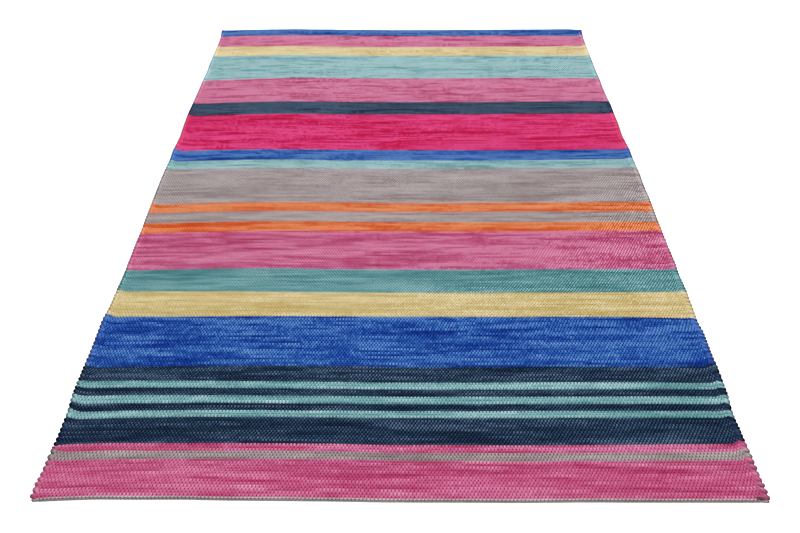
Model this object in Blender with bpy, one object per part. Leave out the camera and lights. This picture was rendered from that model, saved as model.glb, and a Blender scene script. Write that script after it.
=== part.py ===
"""A hand-woven cotton floor rug with cross stripes, lying on the floor.

The rug is one piece of cloth with a thick weft. Its two ends are turned under once and sewn down as
hems, so the ends are two layers thick. A broad strip along the middle lies flat on the floor, and on
either side of it the cloth lifts in a low fold that runs lengthwise. The sides are woven edges, which
wander in and out by a few millimetres.

Metres. +X runs across the rug, +Y towards its far end and +Z up. The origin is on the floor, under
the middle of the rug.
"""

import math
from collections import namedtuple

import bmesh
import bpy

# Sizes of the cloth
WIDTH = 1.200
LENGTH = 1.800
CLOTH_THICKNESS = 0.004

# The hem at each end
HEM_DEPTH = 0.026
HEM_SLIT = 0.0006
HEM_SIDE_STEP = 0.0015
HEM_SLOPE_LENGTH = 0.036

# How finely the shape is divided
COLUMNS_ACROSS = 20
SIDE_ROUND_STEPS = 3
FOLD_STEPS = 4
SLOPE_STEPS = 3
LONGEST_ROW = 0.046
WELD_DISTANCE = 0.00001

# How far in from each end the cloth still follows that end's waviness
END_WAVE_REACH = 0.300

# Finish of the cotton
COTTON_ROUGHNESS = 0.9
SHARP_ANGLE = math.radians(40.0)

# Yarn colours, as linear red, green and blue
YARNS = {
    "royal_blue": (0.055, 0.145, 0.420),
    "pink": (0.560, 0.140, 0.255),
    "yellow": (0.680, 0.540, 0.280),
    "aqua": (0.290, 0.500, 0.480),
    "navy": (0.030, 0.045, 0.095),
    "magenta": (0.600, 0.030, 0.135),
    "grey": (0.360, 0.305, 0.300),
    "orange": (0.680, 0.180, 0.065),
    "teal": (0.110, 0.290, 0.310),
}

# The stripes in the order they are woven, from the far end to the near end
Stripe = namedtuple("Stripe", "yarn length")
STRIPES = (
    Stripe("royal_blue", 0.046),
    Stripe("pink", 0.079),
    Stripe("yellow", 0.061),
    Stripe("aqua", 0.152),
    Stripe("pink", 0.146),
    Stripe("navy", 0.071),
    Stripe("magenta", 0.186),
    Stripe("royal_blue", 0.049),
    Stripe("aqua", 0.038),
    Stripe("grey", 0.148),
    Stripe("orange", 0.037),
    Stripe("grey", 0.040),
    Stripe("orange", 0.035),
    Stripe("pink", 0.133),
    Stripe("teal", 0.076),
    Stripe("yellow", 0.072),
    Stripe("royal_blue", 0.136),
    Stripe("navy", 0.039),
    Stripe("aqua", 0.016),
    Stripe("navy", 0.018),
    Stripe("aqua", 0.017),
    Stripe("navy", 0.017),
    Stripe("aqua", 0.015),
    Stripe("navy", 0.059),
    Stripe("pink", 0.016),
    Stripe("grey", 0.016),
    Stripe("pink", 0.077),
    Stripe("grey", 0.005),
)

# How far the woven sides lie inside the full width, at distances from the far end
SideEdge = namedtuple("SideEdge", "from_far left right")
SIDE_EDGES = (
    SideEdge(0.000, 0.0045, 0.0036),
    SideEdge(0.050, 0.0078, 0.0055),
    SideEdge(0.100, 0.0086, 0.0064),
    SideEdge(0.160, 0.0074, 0.0060),
    SideEdge(0.220, 0.0068, 0.0066),
    SideEdge(0.290, 0.0080, 0.0069),
    SideEdge(0.350, 0.0062, 0.0057),
    SideEdge(0.400, 0.0060, 0.0066),
    SideEdge(0.450, 0.0054, 0.0058),
    SideEdge(0.500, 0.0040, 0.0032),
    SideEdge(0.550, 0.0026, 0.0036),
    SideEdge(0.600, 0.0034, 0.0033),
    SideEdge(0.670, 0.0061, 0.0052),
    SideEdge(0.740, 0.0027, 0.0010),
    SideEdge(0.780, 0.0040, 0.0019),
    SideEdge(0.850, 0.0023, 0.0000),
    SideEdge(0.900, 0.0021, 0.0014),
    SideEdge(0.960, 0.0031, 0.0005),
    SideEdge(1.020, 0.0037, 0.0016),
    SideEdge(1.080, 0.0050, 0.0019),
    SideEdge(1.140, 0.0049, 0.0022),
    SideEdge(1.190, 0.0054, 0.0014),
    SideEdge(1.240, 0.0062, 0.0028),
    SideEdge(1.290, 0.0048, 0.0013),
    SideEdge(1.330, 0.0042, 0.0023),
    SideEdge(1.380, 0.0002, 0.0036),
    SideEdge(1.415, 0.0012, 0.0004),
    SideEdge(1.470, 0.0020, 0.0014),
    SideEdge(1.510, 0.0014, 0.0005),
    SideEdge(1.560, 0.0013, 0.0015),
    SideEdge(1.620, 0.0055, 0.0064),
    SideEdge(1.660, 0.0059, 0.0050),
    SideEdge(1.720, 0.0042, 0.0035),
    SideEdge(1.770, 0.0035, 0.0046),
    SideEdge(1.800, 0.0045, 0.0046),
)

# The low lengthwise folds: how far the cloth lifts off the floor near each end, and how far each end
# lies inside the full length, at distances from the left side
LongFold = namedtuple("LongFold", "from_left near_lift far_lift near_inset far_inset")
LONG_FOLDS = (
    LongFold(0.000, 0.0000, 0.0000, 0.0015, 0.0008),
    LongFold(0.120, 0.0020, 0.0024, 0.0042, 0.0004),
    LongFold(0.240, 0.0030, 0.0036, 0.0035, 0.0000),
    LongFold(0.340, 0.0030, 0.0028, 0.0018, 0.0004),
    LongFold(0.470, 0.0014, 0.0010, 0.0016, 0.0004),
    LongFold(0.590, 0.0000, 0.0000, 0.0006, 0.0002),
    LongFold(0.790, 0.0000, 0.0000, 0.0000, 0.0000),
    LongFold(0.930, 0.0005, 0.0014, 0.0006, 0.0004),
    LongFold(1.040, 0.0008, 0.0015, 0.0002, 0.0002),
    LongFold(1.140, 0.0005, 0.0024, 0.0004, 0.0000),
    LongFold(1.200, 0.0000, 0.0000, 0.0008, 0.0006),
)

# One row of the cloth, from side to side: where its outer face lies and which way that face looks
ClothRow = namedtuple("ClothRow", "along height out up side_step")


def ease(share):
    """Smooth step from 0 to 1 that starts and ends level."""
    return share * share * (3.0 - 2.0 * share)


def ease_slope(share):
    """Slope of ease."""
    return 6.0 * share * (1.0 - share)


def read_table(table, place, column):
    """Value of a column at a place between two rows, level at each row."""
    rows = zip(table, table[1:])
    for before, after in rows:
        if place <= after[0]:
            share = (place - before[0]) / (after[0] - before[0])
            start = getattr(before, column)
            return start + (getattr(after, column) - start) * ease(max(share, 0.0))
    return getattr(table[-1], column)


def hem_rows():
    """Rows of the near hem, from its raw edge under the cloth, round the fold and down to the field.

    Each row lies at a distance from the rug's end, and its face looks out past the end and up.
    """
    radius = CLOTH_THICKNESS + HEM_SLIT / 2.0
    rows = [ClothRow(HEM_DEPTH, 0.0, 0.0, -1.0, HEM_SIDE_STEP)]
    for step in range(FOLD_STEPS + 1):
        angle = math.pi * (step / FOLD_STEPS - 0.5)
        out = math.cos(angle)
        up = math.sin(angle)
        side_step = HEM_SIDE_STEP * (1.0 - step / FOLD_STEPS)
        rows.append(ClothRow(radius * (1.0 - out), radius * (1.0 + up), out, up, side_step))
    drop = 2.0 * radius - CLOTH_THICKNESS
    for step in range(SLOPE_STEPS + 1):
        share = step / SLOPE_STEPS
        slope = drop * ease_slope(share) / HEM_SLOPE_LENGTH
        length = math.hypot(slope, 1.0)
        height = 2.0 * radius - drop * ease(share)
        along = HEM_DEPTH + share * HEM_SLOPE_LENGTH
        rows.append(ClothRow(along, height, -slope / length, 1.0 / length, 0.0))
    return rows


def field_places():
    """Distances from the far end of the field's rows: each stripe's border, and rows between them."""
    first = HEM_DEPTH + HEM_SLOPE_LENGTH
    last = LENGTH - first
    borders = [first]
    border = 0.0
    for stripe in STRIPES:
        border += stripe.length
        if first < border < last:
            borders.append(border)
    borders.append(last)
    places = []
    for start, end in zip(borders, borders[1:]):
        rows = math.ceil((end - start) / LONGEST_ROW)
        places += [start + (end - start) * row / rows for row in range(rows)]
    return places[1:]


def cloth_rows():
    """All rows of the cloth, from the far hem's raw edge to the near hem's."""
    half = LENGTH / 2.0
    far = [ClothRow(half - row.along, row.height, row.out, row.up, row.side_step) for row in hem_rows()]
    field = [ClothRow(half - place, CLOTH_THICKNESS, 0.0, 1.0, 0.0) for place in field_places()]
    near = [ClothRow(row.along - half, row.height, -row.out, row.up, row.side_step) for row in hem_rows()]
    return far + field + near[::-1]


def lift(from_left, along):
    """Height of the cloth over the floor, eased from the far end's folds to the near end's."""
    share = ease(0.5 - along / LENGTH)
    far = read_table(LONG_FOLDS, from_left, "far_lift")
    near = read_table(LONG_FOLDS, from_left, "near_lift")
    return far + (near - far) * share


def end_shift(from_left, along):
    """How far the waviness of the nearer end moves a point towards the rug's middle."""
    from_end = LENGTH / 2.0 - abs(along)
    fade = ease(max(0.0, 1.0 - from_end / END_WAVE_REACH))
    column = "far_inset" if along > 0.0 else "near_inset"
    inset = read_table(LONG_FOLDS, from_left, column) * fade
    return -inset if along > 0.0 else inset


def section_points():
    """The cloth's cross section as a share of the way across, a step past it and a depth.

    The points run along the upper face from left to right, round the right side, back along the
    lower face and round the left side.
    """
    radius = CLOTH_THICKNESS / 2.0
    shares = [step / COLUMNS_ACROSS for step in range(COLUMNS_ACROSS + 1)]
    turns = [math.pi * step / SIDE_ROUND_STEPS for step in range(1, SIDE_ROUND_STEPS)]
    upper = [(share, 0.0, 0.0) for share in shares]
    right = [(1.0, radius * math.sin(turn), radius * (1.0 - math.cos(turn))) for turn in turns]
    lower = [(share, 0.0, CLOTH_THICKNESS) for share in reversed(shares)]
    left = [(0.0, -radius * math.sin(turn), radius * (1.0 + math.cos(turn))) for turn in turns]
    return upper + right + lower + left


def cloth_point(row, point):
    """Place of one point of the section in one row of the cloth."""
    share, past_side, depth = point
    from_far = LENGTH / 2.0 - row.along
    side_radius = CLOTH_THICKNESS / 2.0
    left = read_table(SIDE_EDGES, from_far, "left") + row.side_step + side_radius
    right = WIDTH - read_table(SIDE_EDGES, from_far, "right") - row.side_step - side_radius
    from_left = left + (right - left) * share + past_side
    x = from_left - WIDTH / 2.0
    y = row.along + end_shift(from_left, row.along) - row.out * depth
    z = row.height + lift(from_left, row.along) - row.up * depth
    return x, y, z


def cloth_mesh():
    """Closed mesh of the cloth: a grid wrapped round the section, welded, with its raw edges filled."""
    rows = cloth_rows()
    points = section_points()
    last_row = len(rows) - 1
    around = len(points)
    bm = bmesh.new()
    bmesh.ops.create_grid(bm, x_segments=around, y_segments=last_row, size=0.5)
    for vert in bm.verts:
        step = round((vert.co.x + 0.5) * around) % around
        row = round((vert.co.y + 0.5) * last_row)
        vert.co = cloth_point(rows[row], points[step])
    bmesh.ops.remove_doubles(bm, verts=bm.verts, dist=WELD_DISTANCE)
    raw_edges = [edge for edge in bm.edges if edge.is_boundary]
    bmesh.ops.holes_fill(bm, edges=raw_edges)
    bmesh.ops.recalc_face_normals(bm, faces=bm.faces)
    mesh = bpy.data.meshes.new("rug_cloth")
    bm.to_mesh(mesh)
    bm.free()
    return mesh


def yarn_material(yarn, colour):
    """Matt cotton in one yarn colour."""
    material = bpy.data.materials.new("cotton_" + yarn)
    material.use_nodes = True
    shader = material.node_tree.nodes["Principled BSDF"]
    shader.inputs["Base Color"].default_value = (*colour, 1.0)
    shader.inputs["Roughness"].default_value = COTTON_ROUGHNESS
    shader.inputs["Metallic"].default_value = 0.0
    return material


def stripe_at(from_far):
    """Yarn of the stripe at a distance from the far end."""
    border = 0.0
    for stripe in STRIPES:
        border += stripe.length
        if from_far < border:
            return stripe.yarn
    return STRIPES[-1].yarn


def colour_stripes(mesh):
    """Give each face the material of the stripe that it lies in."""
    order = list(YARNS)
    for yarn in order:
        mesh.materials.append(yarn_material(yarn, YARNS[yarn]))
    for face in mesh.polygons:
        face.material_index = order.index(stripe_at(LENGTH / 2.0 - face.center.y))


def clear_scene():
    """Remove the objects that the file opens with."""
    for item in list(bpy.data.objects):
        bpy.data.objects.remove(item, do_unlink=True)


def main():
    clear_scene()
    collection = bpy.data.collections.new("cotton_rug")
    bpy.context.scene.collection.children.link(collection)
    mesh = cloth_mesh()
    colour_stripes(mesh)
    rug = bpy.data.objects.new("rug", mesh)
    collection.objects.link(rug)
    mesh.shade_smooth()
    mesh.set_sharp_from_angle(angle=SHARP_ANGLE)


main()
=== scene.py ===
"""Looks of a hand-woven cotton floor rug with cross stripes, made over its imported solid.

The rug is one cloth of thick cotton weft over a thin grey warp. Each stripe of colour is a piece of
its own, and its mesh has every float of the weft as a small pillow, in rows that are offset like
bricks. The cloth follows the solid: hems turned under at both ends, low lengthwise folds, and woven
sides that wander in and out.

Metres. +X runs across the rug, +Y towards its far end and +Z up. The origin is on the floor, under
the middle of the rug.
"""

import math
from collections import namedtuple

import bmesh
import bpy
import numpy as np
from bpy.props import FloatProperty, FloatVectorProperty, IntProperty, PointerProperty
from bpy.types import Operator, Panel, PropertyGroup
from mathutils import Matrix, Vector


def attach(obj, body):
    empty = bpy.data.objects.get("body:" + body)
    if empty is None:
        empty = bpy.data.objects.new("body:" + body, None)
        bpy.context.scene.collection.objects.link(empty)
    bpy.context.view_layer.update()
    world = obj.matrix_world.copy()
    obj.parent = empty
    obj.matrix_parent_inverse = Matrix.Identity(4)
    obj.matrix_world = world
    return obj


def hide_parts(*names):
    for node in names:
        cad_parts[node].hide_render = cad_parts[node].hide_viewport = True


bl_info = {
    "name": "Striped cotton rug",
    "version": (1, 0, 0),
    "blender": (4, 5, 0),
    "location": "3D View > Sidebar > Rug",
    "description": "Weaves a striped cotton floor rug, one piece for each stripe",
    "category": "Object",
}

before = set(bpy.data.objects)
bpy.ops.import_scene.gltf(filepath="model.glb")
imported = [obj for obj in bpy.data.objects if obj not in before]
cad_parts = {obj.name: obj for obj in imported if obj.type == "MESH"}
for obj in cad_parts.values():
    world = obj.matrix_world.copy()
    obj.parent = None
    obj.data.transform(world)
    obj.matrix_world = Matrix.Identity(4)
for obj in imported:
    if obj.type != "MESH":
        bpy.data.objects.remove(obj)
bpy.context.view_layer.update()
SOLID = "rug"

# The stripes in the order they are woven, from the far end to the near end, as in the solid
Stripe = namedtuple("Stripe", "yarn length")
STRIPES = (
    Stripe("royal_blue", 0.046),
    Stripe("pink", 0.079),
    Stripe("yellow", 0.061),
    Stripe("aqua", 0.152),
    Stripe("pink", 0.146),
    Stripe("navy", 0.071),
    Stripe("magenta", 0.186),
    Stripe("royal_blue", 0.049),
    Stripe("aqua", 0.038),
    Stripe("grey", 0.148),
    Stripe("orange", 0.037),
    Stripe("grey", 0.040),
    Stripe("orange", 0.035),
    Stripe("pink", 0.133),
    Stripe("teal", 0.076),
    Stripe("yellow", 0.072),
    Stripe("royal_blue", 0.136),
    Stripe("navy", 0.039),
    Stripe("aqua", 0.016),
    Stripe("navy", 0.018),
    Stripe("aqua", 0.017),
    Stripe("navy", 0.017),
    Stripe("aqua", 0.015),
    Stripe("navy", 0.059),
    Stripe("pink", 0.016),
    Stripe("grey", 0.016),
    Stripe("pink", 0.077),
    Stripe("grey", 0.005),
)

# Values at both woven sides, at a distance from the far end
Sides = namedtuple("Sides", "from_far left right")

# How far the woven sides lie inside the full width
SIDE_EDGES = (
    Sides(0.000, 0.0045, 0.0036),
    Sides(0.050, 0.0078, 0.0055),
    Sides(0.100, 0.0086, 0.0064),
    Sides(0.160, 0.0074, 0.0060),
    Sides(0.220, 0.0068, 0.0066),
    Sides(0.290, 0.0080, 0.0069),
    Sides(0.350, 0.0062, 0.0057),
    Sides(0.400, 0.0060, 0.0066),
    Sides(0.450, 0.0054, 0.0058),
    Sides(0.500, 0.0040, 0.0032),
    Sides(0.550, 0.0026, 0.0036),
    Sides(0.600, 0.0034, 0.0033),
    Sides(0.670, 0.0061, 0.0052),
    Sides(0.740, 0.0027, 0.0010),
    Sides(0.780, 0.0040, 0.0019),
    Sides(0.850, 0.0023, 0.0000),
    Sides(0.900, 0.0021, 0.0014),
    Sides(0.960, 0.0031, 0.0005),
    Sides(1.020, 0.0037, 0.0016),
    Sides(1.080, 0.0050, 0.0019),
    Sides(1.140, 0.0049, 0.0022),
    Sides(1.190, 0.0054, 0.0014),
    Sides(1.240, 0.0062, 0.0028),
    Sides(1.290, 0.0048, 0.0013),
    Sides(1.330, 0.0042, 0.0023),
    Sides(1.380, 0.0002, 0.0036),
    Sides(1.415, 0.0012, 0.0004),
    Sides(1.470, 0.0020, 0.0014),
    Sides(1.510, 0.0014, 0.0005),
    Sides(1.560, 0.0013, 0.0015),
    Sides(1.620, 0.0055, 0.0064),
    Sides(1.660, 0.0059, 0.0050),
    Sides(1.720, 0.0042, 0.0035),
    Sides(1.770, 0.0035, 0.0046),
    Sides(1.800, 0.0045, 0.0046),
)

# The low lengthwise folds, at distances from the left side
LongFold = namedtuple("LongFold", "from_left near_lift far_lift near_inset far_inset")
LONG_FOLDS = (
    LongFold(0.000, 0.0000, 0.0000, 0.0015, 0.0008),
    LongFold(0.120, 0.0020, 0.0024, 0.0042, 0.0004),
    LongFold(0.240, 0.0030, 0.0036, 0.0035, 0.0000),
    LongFold(0.340, 0.0030, 0.0028, 0.0018, 0.0004),
    LongFold(0.470, 0.0014, 0.0010, 0.0016, 0.0004),
    LongFold(0.590, 0.0000, 0.0000, 0.0006, 0.0002),
    LongFold(0.790, 0.0000, 0.0000, 0.0000, 0.0000),
    LongFold(0.930, 0.0005, 0.0014, 0.0006, 0.0004),
    LongFold(1.040, 0.0008, 0.0015, 0.0002, 0.0002),
    LongFold(1.140, 0.0005, 0.0024, 0.0004, 0.0000),
    LongFold(1.200, 0.0000, 0.0000, 0.0008, 0.0006),
)

# How far the picks bow towards the near end at each side, and how far across the rug the bows reach
PICK_BOWS = (
    Sides(0.000, 0.0000, 0.0000),
    Sides(0.045, 0.0000, 0.0040),
    Sides(0.125, -0.0040, -0.0020),
    Sides(0.190, 0.0040, 0.0070),
    Sides(0.340, 0.0125, 0.0040),
    Sides(0.480, 0.0070, -0.0010),
    Sides(0.740, 0.0020, -0.0020),
    Sides(0.800, 0.0050, -0.0035),
    Sides(0.980, 0.0060, -0.0015),
    Sides(1.050, 0.0040, -0.0005),
    Sides(1.088, 0.0070, -0.0020),
    Sides(1.220, 0.0040, 0.0020),
    Sides(1.300, -0.0045, -0.0020),
    Sides(1.370, 0.0005, 0.0045),
    Sides(1.505, 0.0010, -0.0015),
    Sides(1.550, -0.0030, 0.0010),
    Sides(1.630, 0.0035, -0.0005),
    Sides(1.700, 0.0000, -0.0030),
    Sides(1.720, 0.0025, -0.0015),
    Sides(1.800, 0.0000, 0.0000),
)
LEFT_BOW_REACH = 0.350
RIGHT_BOW_REACH = 0.280

# How far the picks' ends are drawn towards the far end at each side, and how far across that reaches
END_RISES = (
    Sides(0.000, 0.0000, 0.0040),
    Sides(0.046, -0.0040, 0.0100),
    Sides(0.125, 0.0020, 0.0150),
    Sides(0.186, 0.0080, 0.0110),
    Sides(0.338, -0.0070, 0.0030),
    Sides(0.484, 0.0000, 0.0020),
    Sides(0.555, 0.0070, 0.0075),
    Sides(0.741, 0.0120, 0.0090),
    Sides(0.790, 0.0090, 0.0120),
    Sides(0.828, 0.0010, 0.0050),
    Sides(0.976, 0.0030, 0.0030),
    Sides(1.053, -0.0010, 0.0030),
    Sides(1.088, -0.0010, 0.0020),
    Sides(1.221, 0.0020, 0.0060),
    Sides(1.297, 0.0060, 0.0050),
    Sides(1.369, 0.0080, 0.0020),
    Sides(1.505, 0.0050, 0.0110),
    Sides(1.544, 0.0030, 0.0080),
    Sides(1.578, 0.0040, 0.0070),
    Sides(1.612, 0.0070, 0.0040),
    Sides(1.627, 0.0050, 0.0055),
    Sides(1.686, -0.0020, 0.0100),
    Sides(1.702, 0.0040, 0.0080),
    Sides(1.718, 0.0030, 0.0090),
    Sides(1.760, 0.0010, 0.0045),
    Sides(1.800, -0.0020, 0.0020),
)
END_RISE_REACH = 0.026

# How far the waves of the rug's ends reach along the cloth
END_WAVE_REACH = 0.300

# How long the wavers of picks and warp are, and how far from the woven sides the warp starts to waver
PICK_WAVER_LENGTH = 0.060
WARP_WAVER_LENGTH = 0.050
STILL_SIDE = 0.020

# The bands of picks that drift along the rug: how wide across their waves are, how many bands there
# are, how far from the rug's ends they are calm, and the share of the length where the last one starts
DRIFT_WIDTH = 0.220
DRIFT_BANDS = 39
DRIFT_CALM = 0.060
DRIFT_END = 0.999

# How the mesh is divided, and how near to each other points are welded
SIDE_STEPS = 5
LOWER_COLUMNS = 96
WELD_DISTANCE = 0.000001

# How strong the lobes of the woven sides are
LOBE_STRENGTHS = (
    Sides(0.000, 0.65, 0.60),
    Sides(1.350, 0.70, 0.60),
    Sides(1.600, 0.80, 0.60),
    Sides(1.690, 1.00, 0.65),
    Sides(1.745, 1.00, 0.90),
    Sides(1.795, 1.00, 0.90),
    Sides(1.799, 0.00, 0.00),
)

# Half teeth that a side's lobes cover, rows in each lobe, the row in which the first one starts, and
# the power that makes a lobe's outline full
LEFT_LOBE_COLUMNS = 2
RIGHT_LOBE_COLUMNS = 3
ROWS_PER_LOBE = 4
FIRST_LOBE_ROW = 2
LOBE_FULLNESS = 0.8

# Finish of the yarns: distance between picks, strength of the streaks, how pale the dashes that took
# little dye are, strength of the painted shade in the gaps between the floats, how much painted light
# makes the colour paler towards the far end, and how much painted shade dims the floats' crowns
# towards the near end
Yarn = namedtuple("Yarn", "pick_spacing streaks dashes gaps fading dullness")
YARNS = {
    "royal_blue": Yarn(0.00545, 1.40, 0.18, 1.0, 0.26, 0.15),
    "pink": Yarn(0.00545, 1.30, 0.12, 0.9, 0.30, 0.12),
    "yellow": Yarn(0.00474, 0.90, 0.00, 0.6, 0.24, 0.20),
    "aqua": Yarn(0.00545, 1.15, 0.18, 0.8, 0.38, 0.18),
    "navy": Yarn(0.00500, 0.85, 0.16, 1.8, 0.13, 0.00),
    "magenta": Yarn(0.00545, 1.20, 0.14, 1.1, 0.20, 0.10),
    "grey": Yarn(0.00545, 0.85, 0.00, 1.1, 0.27, 0.20),
    "orange": Yarn(0.00545, 1.30, 0.10, 1.3, 0.20, 0.00),
    "teal": Yarn(0.00474, 0.90, 0.14, 1.5, 0.20, 0.10),
}

WEAVE_MAP = "weave"
SHEET_MAP = "OFBake"
PAINTED_SHADE = "painted_shade"

# How the tucked end is divided, the share of its radius at the tips and the power that fills it out
# between them, its place in a pick, and the shade painted on it against that of a gap
TUCK_STEPS = 13
TUCK_SIDES = 12
TUCK_TIP = 0.35
TUCK_FULLNESS = 0.7
TUCK_PICK_PLACE = 0.3
TUCK_PICK_SHARE = 0.4
TUCK_SHADE = 0.9

# Size of the gaps' painted shade and of the crowns' painted highlight, in teeth and in picks
GAP_WIDTH = 0.20
GAP_HEIGHT = 0.40
CROWN_WIDTH = 0.30
CROWN_HEIGHT = 0.36

# Where the painted shade of gaps and grooves and the painted highlight of crowns fade in, and the part
# of a tooth in which all end beside the lobes
GAP_FADE = (1.3, 0.2)
GROOVE_FADE = (0.34, 0.50)
CROWN_FADE = (1.2, 0.1)
LOBE_FADE = 0.5

# Painted shade of the grooves, of the creases beside the lobes, of the sides' turn and their edge above
# it, of both folds (below zero on the near fold: painted light) and of the crowns against that of a gap
# (below zero: a painted highlight), and how much deeper than the plain yarn the painted shade makes a
# gap's colour
GROOVE_SHADE = 0.45
LEFT_CREASE_SHADE = 0.30
RIGHT_CREASE_SHADE = 0.55
OUTER_SHADE = 0.85
EDGE_SHADE = 0.65
NEAR_FOLD_SHADE = -0.20
FAR_FOLD_SHADE = 0.45
CROWN_SHADE = -0.06
PAINTED_SHADE_DEPTH = 1.5

# How much darker and greyer the shade painted on the lobes, creases, sides, folds and tuck makes a point
# than a plain float, beside its deeper colour, and the power that keeps that painted shade narrow
PAINTED_SHADE_DARKNESS = 0.50
PAINTED_SHADE_GREYNESS = 0.45
PAINTED_SHADE_NARROWNESS = 1.5

# Marks along single picks: how many lie in each tooth, how far apart their kinds and the picks are in
# the noise, and where in it short streaks and pale dashes fade in
Mark = namedtuple("Mark", "per_tooth shift")
LONG_STREAK = Mark(0.028, 0.0)
SHORT_STREAK = Mark(0.06, 91.7)
FLECK = Mark(0.9, 37.1)
PALE_DASH = Mark(0.09, 55.3)
PICK_STEP = 7.31
SHORT_STREAK_FADE = (0.40, 0.60)
PALE_DASH_FADE = (0.68, 0.71)

# Broad bands of deeper and paler colour, for each tooth and for each pick
BANDS_PER_TOOTH = 0.015
BANDS_PER_PICK = 0.13

# Picks on the whole cloth, which tell how far away a pick lies, and how much deeper the painted shade of
# the gaps gets towards the far end
ALL_PICKS = 340.0
FAR_GAP_SHADE = 2.2

# Strength of long and short streaks, broad bands and flecks at the near end, and how much it grows
# towards the far end
NEAR_LINES = 1.0
FAR_LINES = 0.65
NEAR_STREAKS = 0.19
FAR_STREAKS = 0.40
NEAR_BANDS = 0.60
FAR_BANDS = 0.15
NEAR_FLECKS = 0.38
FAR_FLECKS = 2.30

# Lowest power to which streaks raise the colour at the near end, how much it grows towards the far
# end, and the lowest power of all
NEAR_PALEST_STREAK = 0.68
FAR_PALEST_STREAK = -0.17
PALEST_FLOAT = 0.55

# Millimetres in a tooth and in a pick, and the steps that the noise of the fibres takes for each
# millimetre across the rug and along it: short ones down a fibre, and long ones from fibre to fibre
TOOTH_SIZE = 6.25
PICK_SIZE = 5.4
FIBRE_LENGTHWISE = (0.33, 0.15)
FIBRE_SIDEWAYS = (-1.1, 2.6)
FIBRE_DETAIL = 3.0

# Finish of the cotton
FIBRE_HEIGHT = 0.0004
FIBRE_BUMP = 0.6
LEAST_ROUGHNESS = 0.82
FIBRE_ROUGHNESS = 0.15
SPECULAR = 0.05
SHEEN = 0.25
SHEEN_ROUGHNESS = 0.3

# The floor and the light all round
FLOOR_ROUGHNESS = 0.9
WHITE = (1.0, 1.0, 1.0, 1.0)

# The camera, in the rug's own frame
CAMERA_PLACE = (0.0069, -1.6346, 1.1244)
CAMERA_YAW = math.radians(0.3219)
CAMERA_PITCH = math.radians(40.2811)
CAMERA_ROLL = math.radians(-0.2245)
CAMERA_LENS = 36.0
CAMERA_SENSOR = 36.0


def length_property(name, description, default):
    """Property for a length."""
    return FloatProperty(name=name, description=description, default=default, unit="LENGTH")


def factor_property(name, description, default):
    """Property for a share between 0 and 1."""
    return FloatProperty(name=name, description=description, default=default, subtype="FACTOR")


def power_property(name, description, default):
    """Property for the power of a light."""
    return FloatProperty(name=name, description=description, default=default, unit="POWER")


def place_property(name, description, default):
    """Property for a place."""
    return FloatVectorProperty(name=name, description=description, default=default, subtype="TRANSLATION")


def colour_property(name, description, default):
    """Property for a colour."""
    return FloatVectorProperty(name=name, description=description, default=default, subtype="COLOR")


class RugCloth(PropertyGroup):
    """Sizes of the cloth and of its hems."""

    width: length_property("Width", "Width between the woven sides", 1.200)
    length: length_property("Length", "Length from fold to fold", 1.800)
    thickness: length_property("Thickness", "Thickness of one layer", 0.004)
    hem_depth: length_property("Hem depth", "How far each end is turned under", 0.026)
    hem_slit: length_property("Hem slit", "Gap between a hem's two layers", 0.0006)
    hem_side_step: length_property(
        "Hem side step", "How far the layer underneath is narrower at each side", 0.0015
    )
    fold_side_step: length_property(
        "Fold side step", "How far the folds are narrower at the left side", 0.0022
    )
    hem_slope: length_property(
        "Hem slope", "Length over which the cloth comes down from a hem to the floor", 0.036
    )


class RugWeave(PropertyGroup):
    """Relief and unevenness of the weave."""

    teeth: IntProperty(name="Teeth", description="Pairs of warp yarns across the rug", default=191)
    float_rise: length_property("Float rise", "How far a float stands proud", 0.00035)
    warp_dip: length_property("Warp dip", "Depth of the cloth where the warp crosses over", 0.00055)
    groove: length_property("Groove", "Depth between two picks", 0.00110)
    lower_groove: length_property("Lower groove", "Depth between two picks on the lower face", 0.0012)
    interlock: length_property(
        "Interlock", "How far a float reaches between the floats of the next pick", 0.00120
    )
    lobe_bulge: length_property("Lobe bulge", "How far a side's lobes stand out", 0.0020)
    lobe_rise: length_property("Lobe rise", "How far a side's lobes stand up", 0.0005)
    lobe_notch: length_property("Lobe notch", "Depth between two lobes", 0.0024)
    lobe_crease: length_property("Lobe crease", "Depth of the crease beside the lobes", 0.0012)
    lobe_slant: length_property(
        "Lobe slant", "How far the right side's lobes lean towards the near end", 0.0055
    )
    lobe_spread: factor_property("Lobe spread", "How much the lobes differ in strength", 0.45)
    pick_waver: length_property("Pick waver", "How far the picks waver", 0.0004)
    cloth_drift: length_property("Cloth drift", "How far whole bands of picks drift along the rug", 0.0013)
    warp_waver: length_property("Warp waver", "How far the warp wavers", 0.0003)
    float_waver: length_property("Float waver", "How much the floats differ in height", 0.00015)
    pick_spread: factor_property("Pick spread", "How much the picks differ in width", 0.06)
    seed: IntProperty(name="Seed", description="Start of the uneven places", default=11)


class RugYarns(PropertyGroup):
    """Colours of the yarns."""

    royal_blue: colour_property("Royal blue", "Royal blue weft", (0.026, 0.115, 0.425))
    pink: colour_property("Pink", "Pink weft", (0.568, 0.131, 0.276))
    yellow: colour_property("Yellow", "Yellow weft", (0.640, 0.530, 0.275))
    aqua: colour_property("Aqua", "Aqua weft", (0.240, 0.445, 0.465))
    navy: colour_property("Navy", "Navy weft", (0.0165, 0.042, 0.093))
    magenta: colour_property("Magenta", "Magenta weft", (0.640, 0.0150, 0.133))
    grey: colour_property("Grey", "Grey weft", (0.385, 0.325, 0.328))
    orange: colour_property("Orange", "Orange weft", (0.720, 0.197, 0.053))
    teal: colour_property("Teal", "Teal weft", (0.135, 0.350, 0.370))


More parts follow.
